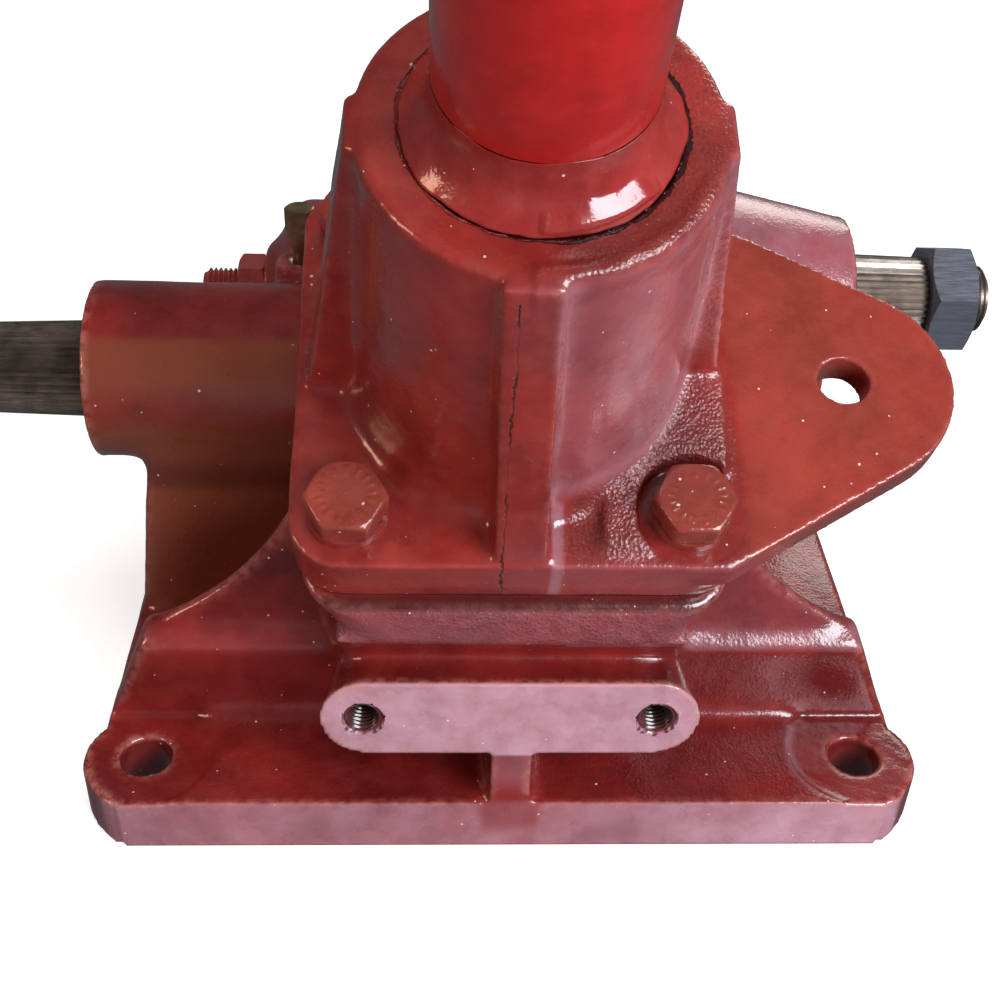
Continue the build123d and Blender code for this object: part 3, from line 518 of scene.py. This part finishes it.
# ---------------------------------------------------------------- the housing
def housing_keep(points):
    """1 on the machined faces, holes and spot faces, which stay as the CAD has them."""
    x, y, z = points.T
    keep = np.maximum.reduce([
        fade(z, 0.003, 0.001),
        fade(y, PAD_FRONT + 0.003, PAD_FRONT + 0.001) * fade(z, PAD_TOP + 0.003, PAD_TOP + 0.001),
        fade(x, ARM_END + 0.003, ARM_END + 0.001),
        fade(x, BOSS_END - 0.003, BOSS_END - 0.001) * fade(z, 0.06, 0.08),
    ])
    for hole_x, hole_y in BASE_HOLES:
        gap = np.hypot(x - hole_x, y - hole_y)
        spot = fade(gap, SPOT_RADIUS + 0.003, SPOT_RADIUS + 0.001)
        keep = np.maximum(keep, spot * fade(z, 0.026, 0.023))
    for side in (-1, 1):
        gap = np.hypot(x - side * PAD_HOLE_X, z - PAD_HEIGHT)
        keep = np.maximum(keep, fade(gap, 0.009, 0.0075) * fade(y, -0.085, -0.092))
    return keep


def true_up_housing(skin):
    """Makes the holes round and the pad's face and the bottom flat again."""
    x, y, z = skin.co.T
    for hole_x, hole_y in BASE_HOLES:
        off_x, off_y = x - hole_x, y - hole_y
        gap = np.hypot(off_x, off_y)
        inside = (gap < BASE_HOLE_RADIUS + 0.0009) & (z > 0.0012) & (z < BASE_TOP - 0.0016)
        skin.co[inside, 0] = hole_x + off_x[inside] / gap[inside] * BASE_HOLE_RADIUS
        skin.co[inside, 1] = hole_y + off_y[inside] / gap[inside] * BASE_HOLE_RADIUS
    for side in (-1, 1):
        off_x, off_z = x - side * PAD_HOLE_X, z - PAD_HEIGHT
        gap = np.hypot(off_x, off_z)
        inside = (gap < 0.0066) & (gap > 0.001) & (y < PAD_FRONT + PAD_HOLE_DEPTH - 0.002)
        flare = THREAD_ROOT + 0.0010 * fade(y, PAD_FRONT + 0.0012, PAD_FRONT)
        scale = flare / np.maximum(gap, 1e-6)
        skin.co[inside, 0] = side * PAD_HOLE_X + (off_x * scale)[inside]
        skin.co[inside, 2] = PAD_HEIGHT + (off_z * scale)[inside]
    face = (skin.co[:, 1] < PAD_FRONT + 0.0005) & (skin.co[:, 2] < PAD_TOP + 0.001)
    skin.co[face, 1] = PAD_FRONT
    bottom = skin.co[:, 2] < 0.0006
    skin.co[bottom, 2] = 0


def housing_painted_sheen(skin, front_wall, right_skirt):
    """Where the housing's paint gets pale painted sheen and highlights: the pad, the base's edge
    and the tops.
    """
    x, y, z = skin.co.T
    _, normal_y, normal_z = skin.normal.T
    _, _, along = column_frame(skin.co)
    on_pad = fade(y, PAD_FRONT + 0.0008, PAD_FRONT + 0.0003)
    on_pad *= fade(z, PAD_TOP + 0.002, PAD_TOP + 0.001)
    on_pad *= fade(z, PAD_BOTTOM - 0.001, PAD_BOTTOM)
    off_rib = fade(abs(x - RIB_X), 0.006, 0.014 - 0.2 * (BASE_TOP - np.clip(z, 0, BASE_TOP)))
    base_front = fade(normal_y, -0.5, -0.85) * fade(z, 0.024, 0.020) * fade(y, -0.112, -0.116)
    base_front *= np.maximum(off_rib, 0.35 + 0.65 * fade(z, 0.012, 0.004))
    base_front *= 0.75 + 0.25 * noise(skin.co, 0.012, seed=8)
    boss_top = fade(x, SKIRT_X, SKIRT_X + 0.006) * fade(z, 0.12, 0.135) * fade(normal_z, 0.3, 0.7)
    # painted highlight: a pale streak along the top of the wall under the band, for a reflection
    # of a bright floor
    wall_painted_highlight = between(along, -0.0485, -0.0455, -0.0415, -0.039) * fade(y, -0.085, -0.095)
    wall_painted_highlight *= between(x, 0.0158, 0.0170, 0.050, 0.056)
    wall_painted_highlight *= 0.7 + 0.3 * noise(skin.co, 0.004, seed=9)
    step_top = between(z, STEP_TOP - 0.0040, STEP_TOP - 0.0015, STEP_TOP + 0.003, STEP_TOP + 0.005)
    step_top *= fade(y, -0.066, -0.070) * fade(normal_z, 0.15, 0.45)
    step_top *= fade(abs(x), SKIRT_X + 0.001, SKIRT_X + 0.006)
    skirt_face = fade(z, STEP_TOP + 0.001, STEP_TOP + 0.004) * fade(y, -0.062, -0.068)
    skirt_face *= fade(abs(x), SKIRT_X, SKIRT_X + 0.004)
    rib_face = fade(abs(x - RIB_X), 0.0075, 0.0060) * fade(y, -0.112, -0.116)
    rib_face *= between(z, 0.022, 0.036, 0.0445, 0.0460)
    # painted sheen: on the pad, the base's front (stronger to the right), the boss top, the step
    # and the rib
    painted_sheen = 0.82 * on_pad + base_front * (0.58 + 0.42 * fade(x, 0.0, 0.11))
    painted_sheen += 0.06 * right_skirt * fade(y, -0.075, -0.072) + 0.16 * front_wall + 0.30 * boss_top
    painted_sheen += 0.55 * wall_painted_highlight + step_top * (0.04 + 0.14 * fade(x, -0.02, 0.06))
    painted_sheen *= 1 - 0.6 * skirt_face * fade(x, 0, -0.01)
    return np.clip(painted_sheen + 0.16 * rib_face, 0, 1)


def housing_shade_and_warm_light(skin):
    """Painted shade under the cover, the arm and the step, and painted warm light on the arm as a
    brown tint.
    """
    x, y, z = skin.co.T
    _, across, along = column_frame(skin.co)
    ledge = fade(along, -0.0245, -0.0228) * fade(across, -0.0672, -0.0685)
    arm_web = fade(x, ARM_START, ARM_START - 0.004) * between(y, -0.0235, -0.0205, -0.014, -0.010)
    arm_web *= fade(z, 0.022, 0.030)
    under_arm = fade(z, 0.074, 0.088) * arm_web
    step_face = between(z, 0.0225, 0.0300, 0.0480, STEP_TOP - 0.002)
    step_face *= between(y, -0.0800, -0.0785, -0.0765, -0.0745)
    arm = fade(x, ARM_START, ARM_START - 0.008)
    arm_belly = arm * between(z, 0.078, 0.082, 0.084, 0.098)
    shade = ledge + 0.25 * under_arm + 0.32 * step_face + 0.45 * arm_belly
    # painted warm light: a brown tint on the arm's web and on the arm's upper side
    rust_and_warm_light = 0.9 * arm_web + 0.45 * arm * between(z, 0.088, 0.098, 0.104, 0.130)
    return np.clip(shade, 0, 1), np.clip(rust_and_warm_light, 0, 1)


def housing_casting(coat):
    """The gear case: flat machined faces, soft cast corners and a lumpy wall under the flange."""
    piece = loose_copy("housing", "housing_casting", HOUSING_VOXEL)
    skin = Skin(piece.data)
    keep = housing_keep(skin.co)
    skin.relax(10, hollows=0.5, ridges=0.5, keep=keep)
    skin.relax(60, hollows=0.55, ridges=0.06, keep=keep)
    x, y, z = skin.co.T
    _, across, along = column_frame(skin.co)
    front_wall = between(along, -0.043, -0.040, -0.0245, -0.0225) * fade(across, -0.020, -0.045)
    right_skirt = fade(x, 0.058, 0.066) * fade(z, 0.025, 0.032) * fade(y, -0.045, -0.05)
    base_skin = fade(z, 0.024, 0.0215)
    base_edge = fade(y, -0.117, -0.1195) * fade(z, 0.024, 0.021)
    rear = fade(y, 0.0, 0.03)
    patches = fade(noise(skin.co, 0.022, seed=3), -0.3, 0.5)
    rough = 0.08 + 0.75 * front_wall * (0.35 + 0.65 * patches) + 0.12 * base_skin
    rough += 0.05 * right_skirt + 0.10 * rear + 0.65 * base_edge
    rough = np.clip(rough, 0, 1) * (1 - keep) + 0.02 * keep
    lumps = noise(skin.co, 0.0035, seed=1) + 0.5 * noise(skin.co, 0.0018, seed=2)
    waves = noise(skin.co, 0.018, seed=4)
    cast_skin = (0.00022 * lumps * rough + 0.00028 * waves) * (1 - keep)
    skin.push(cast_skin + 0.0003 * front_wall * lumps * patches)
    skin.find_normals()
    true_up_housing(skin)
    painted_sheen = housing_painted_sheen(skin, front_wall, right_skirt)
    shade, rust_and_warm_light = housing_shade_and_warm_light(skin)
    finish_skin(piece, skin, coat, {"rough": rough, "painted_sheen": painted_sheen, "shade": shade, "rust_and_warm_light": rust_and_warm_light})
    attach(piece, "gearcase")
    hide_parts("housing")


# ---------------------------------------------------------------- the column's castings
def bolt_seats(x, across, along):
    """1 on the spot faces under the four cover bolts."""
    seats = np.zeros(len(x))
    for side_x in (-1, 1):
        for side_y in (-1, 1):
            gap = np.hypot(x - side_x * BOLT_OFFSET, across - side_y * BOLT_OFFSET)
            seats = np.maximum(seats, fade(gap, 0.0175, 0.0160) * fade(along, 0.0030, 0.0012))
    return seats


def shape_rim(skin, front, radius):
    """Leans the front rib's top to the left, and steps the top ring's right half outwards."""
    x, across, along = column_frame(skin.co)
    on_rib = fade(abs(x), 0.020, 0.009) * fade(across, -0.043, -0.047)
    skin.co[:, 0] -= RIB_LEAN * on_rib * np.clip(along / COLUMN_HEIGHT, 0, 1)
    right_half = fade(skin.co[:, 0], RIM_STEP_X - 0.0004, RIM_STEP_X + 0.0004) * front
    rim = fade(along, COLUMN_HEIGHT - 0.013, COLUMN_HEIGHT - 0.003)
    skin.push(RIM_STEP * right_half * rim * fade(radius, 0.040, 0.043))


def cover_casting(coat):
    """The inclined column casting, with its flange, gussets, parting line and side ear."""
    piece = loose_copy("column_cover", "cover_casting", COVER_VOXEL)
    skin = Skin(piece.data)
    x, across, along = column_frame(skin.co)
    ear = fade(x, 0.066, 0.070)
    seats = bolt_seats(x, across, along)
    keep = np.maximum(0.75 * ear, seats)
    skin.relax(6, hollows=0.5, ridges=0.5, keep=keep)
    skin.relax(30, hollows=0.55, ridges=0.04, keep=keep)
    x, across, along = column_frame(skin.co)
    radius = np.hypot(x, across)
    front = fade(across, -0.005, -0.02)
    right_cast = between(x, 0.013, 0.018, 0.066, 0.068) * front * fade(radius, 0.049, 0.0515)
    right_cast *= fade(along, -0.001, 0.001) * (1 - seats)
    patches = fade(noise(skin.co, 0.012, seed=7), -0.4, 0.5)
    ring_top = fade(along, COLUMN_HEIGHT - 0.0015, COLUMN_HEIGHT - 0.0005)
    rough = 0.06 + 0.90 * right_cast * (0.55 + 0.45 * patches) + 0.10 * ear
    rough += 0.45 * ring_top * fade(x, 0.002, 0.020)
    rough = np.clip(rough, 0, 1) * (1 - 0.9 * seats)
    lumps = noise(skin.co, 0.0024, seed=11) + 0.6 * noise(skin.co, 0.0014, seed=12)
    waves = noise(skin.co, 0.014, seed=13)
    skin.push((0.00018 * lumps * rough + 0.00024 * waves * (1 - ear)) * (1 - seats))
    _, across, along = column_frame(skin.co)
    shape_rim(skin, front, radius)
    x = skin.co[:, 0]
    drum = fade(np.hypot(x, across), 0.053, 0.050)
    drum *= between(along, 0.004, 0.012, COLUMN_HEIGHT - 0.004, COLUMN_HEIGHT)
    # painted sheen and highlights: on the drum where it faces the window lamp, the rib's right
    # side, the right gusset and the low right front
    to_window = fade(skin.normal @ WINDOW_WAY, 0.45, 0.95)
    rib_side = between(x, 0.0085, 0.0100, 0.0115, 0.0135) * fade(across, -0.049, -0.0505)
    low_right = fade(across, -0.060, -0.067) * fade(skin.normal[:, 1], -0.4, -0.8)
    painted_sheen = 0.34 * drum * to_window + 0.40 * right_cast * fade(along, 0.020, 0.030)
    painted_sheen += 0.4 * rib_side + 0.10 * low_right * fade(x, -0.03, 0.03)
    shade = 0.45 * ring_top * fade(x, -0.002, 0.012) * fade(across, 0.01, -0.01)
    shade += 0.50 * right_cast * fade(along, 0.020, 0.012)
    painted_sheen, shade = np.clip(painted_sheen, 0, 1), np.clip(shade, 0, 1)
    fields = {"rough": rough, "painted_sheen": painted_sheen, "shade": shade, "rust_and_warm_light": 0.25 * ear}
    finish_skin(piece, skin, coat, fields)
    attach(piece, "gearcase")
    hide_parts("column_cover")


def painted_bolts(coat):
    """The cover bolts under a thick brushed coat, with a ring of raised ticks on each head."""
    piece = loose_copy("cover_bolts", "cover_bolts_painted", BOLT_VOXEL)
    skin = Skin(piece.data)
    _, _, along = column_frame(skin.co)
    head = fade(along, 0.0, 0.002)
    skin.relax(5, hollows=0.5, ridges=0.45, keep=1 - head)
    x, across, along = column_frame(skin.co)
    off_x = x - np.where(x > 0, 1, -1) * BOLT_OFFSET
    off_y = across - np.where(across > 0, 1, -1) * BOLT_OFFSET
    gap, angle = np.hypot(off_x, off_y), np.arctan2(off_y, off_x)
    ticks = np.clip(np.sin(angle * 17 + 2 * np.sin(angle * 2)) * 2 - 0.6, 0, 1)
    ticks *= between(gap, 0.0060, 0.0066, 0.0086, 0.0092)
    ticks *= fade(along, HEAD_TOP - 0.002, HEAD_TOP - 0.001)
    skin.push(head * (0.00012 * noise(skin.co, 0.003, seed=21) + 0.00032 * ticks))
    finish_skin(piece, skin, coat, {"rough": 0.25 * head, "rust_and_warm_light": 0.3 * head})
    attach(piece, "gearcase")
    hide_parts("cover_bolts")


def weld_bead(coat):
    """The flared bead of filler round the tube's foot, with a ragged rim and one flat dab."""
    turns = 260
    levels = 33
    inner = TUBE_RADIUS + 0.00002
    neck = TUBE_RADIUS + 0.00004
    foot = COLUMN_HEIGHT - 0.0003
    angles = np.arange(turns) * 2 * pi / turns
    circle = np.stack([np.cos(angles), np.sin(angles), np.zeros(turns)], 1)
    rim = circle * COLLAR_RADIUS
    ragged = noise(rim, 0.011, seed=31) * 0.0006 + noise(rim, 0.0035, seed=32) * 0.0003
    turned = angles - DAB_ANGLE
    sunk = 1 - between(turned, radians(-30), radians(-6), radians(15), radians(25))

    def ring(radius, height):
        return [
            COVER + Vector((1, 0, 0)) * (r * cos(a)) + ACROSS * (r * sin(a)) + ALONG * h
            for r, h, a in zip(
                np.broadcast_to(radius, turns), np.broadcast_to(height, turns), angles)
        ]

    def dab(height):
        """The radius of the dab's flat face, which reaches out of the bead where not sunk."""
        place = rim + np.array([0, 0, height])
        reach = DAB_REACH - 0.0016 * sunk
        reach = reach + 0.00022 * noise(place, 0.0034, seed=35)
        reach = reach + 0.0003 * noise(place, 0.008, seed=36)
        radius = (reach - DAB_ALONG * (height - COLUMN_HEIGHT)) / (DAB_OUT * np.cos(0.6 * turned))
        return np.minimum(radius, COLLAR_RADIUS - 0.0004)

    rings = [ring(inner, foot), ring(COLLAR_RADIUS - 0.0002 + ragged, foot)]
    for level in np.linspace(0, 1, levels):
        radius = neck + (COLLAR_RADIUS - neck) * (1 - level) ** 2.2
        height = COLUMN_HEIGHT + 0.0002 + (COLLAR_HEIGHT - 0.0002) * level
        place = circle * radius + np.array([0, 0, height])
        lumps = noise(place, 0.009, seed=33) * 0.0009 * (1 - level)
        drips = noise(circle * 0.03, 0.012, seed=34) * 0.002 * level
        radius = radius + lumps + ragged * (1 - level) ** 3
        radius = np.where(sunk < 1, np.maximum(radius, dab(height)), radius)
        rings.append(ring(radius, height + drips))
    rings.append(ring(inner, COLUMN_HEIGHT + COLLAR_HEIGHT))
    piece = grid_piece("weld_bead", rings, coat)
    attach(piece, "gearcase")
    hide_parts("weld_collar")


def pad_thread(side, coat):
    """The tapped thread of one pad hole: a closed sleeve with a helical inner face."""
    turns = 72
    steps = 110
    start = 0.0008
    length = PAD_HOLE_DEPTH - 0.004
    angles = np.arange(turns) * 2 * pi / turns

    def ring(radius, deep):
        return [
            Vector((side * PAD_HOLE_X + r * cos(a), PAD_FRONT + deep, PAD_HEIGHT + r * sin(a)))
            for r, a in zip(np.broadcast_to(radius, turns), angles)
        ]

    rings = []
    for step in range(steps + 1):
        deep = start + length * step / steps
        phase = (deep / THREAD_PITCH - angles / (2 * pi)) % 1
        ridge = 1 - np.abs(2 * phase - 1)
        rings.append(ring(THREAD_ROOT - 0.0001 - (THREAD_ROOT - THREAD_CREST) * ridge, deep))
    rings += [ring(THREAD_ROOT, start + length), ring(THREAD_ROOT, start)]
    piece = grid_piece("pad_thread_right" if side > 0 else "pad_thread_left", rings, coat)
    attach(piece, "gearcase")


# ---------------------------------------------------------------- camera, floor and light
def camera():
    """The photograph's viewpoint: above, in front and a little to the left, slightly rolled."""
    data = bpy.data.cameras.new("camera")
    data.sensor_width = 36.0
    data.lens = 50.286
    data.shift_y = 0.012
    data.clip_start = 0.01
    eye = Vector((-0.02449, -0.44338, 0.38065))
    pitch, yaw, roll = radians(36.2), radians(3.23), radians(2.35)
    ahead = Vector((sin(yaw) * cos(pitch), cos(yaw) * cos(pitch), -sin(pitch)))
    level = Vector((cos(yaw), -sin(yaw), 0))
    upright = level.cross(ahead)
    right = level * cos(roll) + upright * sin(roll)
    up = upright * cos(roll) - level * sin(roll)
    turn = Matrix((right, up, -ahead)).transposed()
    item = bpy.data.objects.new("camera", data)
    item.matrix_world = Matrix.Translation(eye) @ turn.to_4x4()
    bpy.context.scene.collection.objects.link(item)
    bpy.context.scene.camera = item


def floor():
    """A pale floor that is bright to the camera but casts no light on the part."""
    half = 4.0
    corners = [(sx * half, sy * half, 0) for sx, sy in ((-1, -1), (1, -1), (1, 1), (-1, 1))]
    mesh = bpy.data.meshes.new("floor")
    mesh.from_pydata(corners, [], [(0, 1, 2, 3)])
    nodes = Nodes("floor_white")
    nodes.set(Base_Color=(0.60, 0.60, 0.60, 1), Roughness=0.9)
    nodes.set(Emission_Color=(1, 1, 1, 1), Emission_Strength=0.72)
    mesh.materials.append(nodes.material)
    item = bpy.data.objects.new("floor", mesh)
    item.location.z = -0.0002
    item.visible_glossy = False
    item.visible_diffuse = False
    bpy.context.scene.collection.objects.link(item)


def lamp(name, place, aim, size, watts, tint, mirrored=True):
    """A rectangular lamp that the camera can't see, and gloss only when it is mirrored."""
    data = bpy.data.lights.new(name, "AREA")
    data.shape = "RECTANGLE"
    data.size, data.size_y = size
    data.energy = watts
    data.color = tint
    item = bpy.data.objects.new(name, data)
    item.location = place
    item.rotation_euler = (Vector(aim) - Vector(place)).to_track_quat("-Z", "Y").to_euler()
    item.visible_camera = False
    item.visible_glossy = mirrored
    bpy.context.scene.collection.objects.link(item)


def lights():
    """A dim sky, one large window at the right, and four soft fills."""
    world = bpy.data.worlds.new("studio")
    world.use_nodes = True
    sky = world.node_tree.nodes["Background"].inputs
    sky["Color"].default_value = (0.80, 0.84, 0.92, 1)
    sky["Strength"].default_value = 0.12
    bpy.context.scene.world = world
    middle = (0, 0, 0.10)
    lamp("window", (0.80, -0.95, 0.80), middle, (0.8, 0.6), 24, (0.90, 0.92, 1.0))
    lamp(
        "front_card", (0.10, -0.70, 0.03), (0.05, 0, 0.10), (0.9, 0.2), 3.2,
        (0.95, 0.92, 1.0), mirrored=False)
    lamp("overhead", (0.0, -0.1, 1.3), middle, (0.6, 0.6), 7, (1.0, 0.93, 0.88), mirrored=False)
    lamp("left_glow", (-1.0, -0.5, 0.55), middle, (0.3, 0.3), 3.0, (1.0, 0.62, 0.42))
    lamp("rear_fill", (0.5, 1.1, 0.7), middle, (0.6, 0.6), 4, (1.0, 0.95, 0.9))


# ---------------------------------------------------------------- the scene
camera()
floor()
lights()
bpy.context.scene.view_settings.view_transform = "Standard"
bpy.context.scene.view_settings.look = "None"

paint = {
    "housing": enamel("housing_paint", (0.22, 0.015, 0.013, 1), (0.12, 0.0075, 0.007, 1)),
    "cover": enamel(
        "cover_paint", (0.30, 0.025, 0.019, 1), (0.18, 0.014, 0.011, 1), crack=True),
    "bolt": enamel(
        "bolt_paint", (0.30, 0.030, 0.024, 1), (0.17, 0.016, 0.014, 1), cast=0.7, specks=1.2),
    "tube": enamel(
        "tube_paint", (0.47, 0.012, 0.010, 1), (0.34, 0.009, 0.008, 1),
        cast=0.25, specks=0.3, fields=False),
    "collar": enamel(
        "collar_paint", (0.33, 0.026, 0.022, 1), (0.22, 0.016, 0.014, 1),
        cast=0.7, fields=False),
    "trim": enamel(
        "trim_paint", (0.30, 0.040, 0.030, 1), (0.20, 0.020, 0.018, 1),
        cast=0.5, fields=False),
    "thread": enamel(
        "thread_paint", (0.12, 0.030, 0.030, 1), (0.05, 0.012, 0.012, 1),
        cast=0.3, fields=False),
    "shaft": oiled_steel("oiled_shaft", (0.30, 0.26, 0.22, 1), 0),
    "input": oiled_steel("oiled_input", (0.34, 0.33, 0.32, 1), 2, 0.3),
    "nut": oiled_steel("blued_nut", (0.36, 0.385, 0.45, 1), 0, 0.05),
    "steel": plain_metal("ground_steel", (0.55, 0.55, 0.57, 1), 0.3),
    "brass": plain_metal("plug_brass", (0.42, 0.30, 0.16, 1), 0.38),
    "bronze": plain_metal("bush_bronze", (0.50, 0.32, 0.16, 1), 0.35),
    "gasket": soft_material("gasket_fibre", (0.030, 0.008, 0.008, 1), 0.7),
    "rubber": soft_material("seal_rubber_black", (0.015, 0.015, 0.016, 1), 0.6),
    "nylon": soft_material("bush_nylon", (0.62, 0.60, 0.52, 1), 0.45),
}

housing_casting(paint["housing"])
cover_casting(paint["cover"])
painted_bolts(paint["bolt"])
weld_bead(paint["collar"])
for side in (-1, 1):
    pad_thread(side, paint["thread"])

node_paint = {
    "column_tube": "tube", "cover_spring_washers": "trim", "cover_gasket": "gasket",
    "front_adjuster_nut": "trim", "front_adjuster_screw": "trim",
    "rear_adjuster_nut": "trim", "rear_adjuster_screw": "trim", "drain_plug": "trim",
    "filler_plug": "brass", "front_cross_shaft": "shaft", "rear_cross_shaft": "shaft",
    "front_shaft_nut": "nut", "rear_shaft_nut": "nut", "input_shaft": "input",
    "front_shaft_bushes": "bronze", "rear_shaft_bushes": "bronze", "thrust_washers": "bronze",
    "front_shaft_seal": "rubber", "rear_shaft_seal": "rubber", "column_top_seal": "rubber",
    "column_top_bush": "nylon",
}
replaced = {"housing", "column_cover", "cover_bolts", "weld_collar"}
for name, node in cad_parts.items():
    if name not in replaced:
        node.data.materials.clear()
        node.data.materials.append(paint[node_paint.get(name, "steel")])
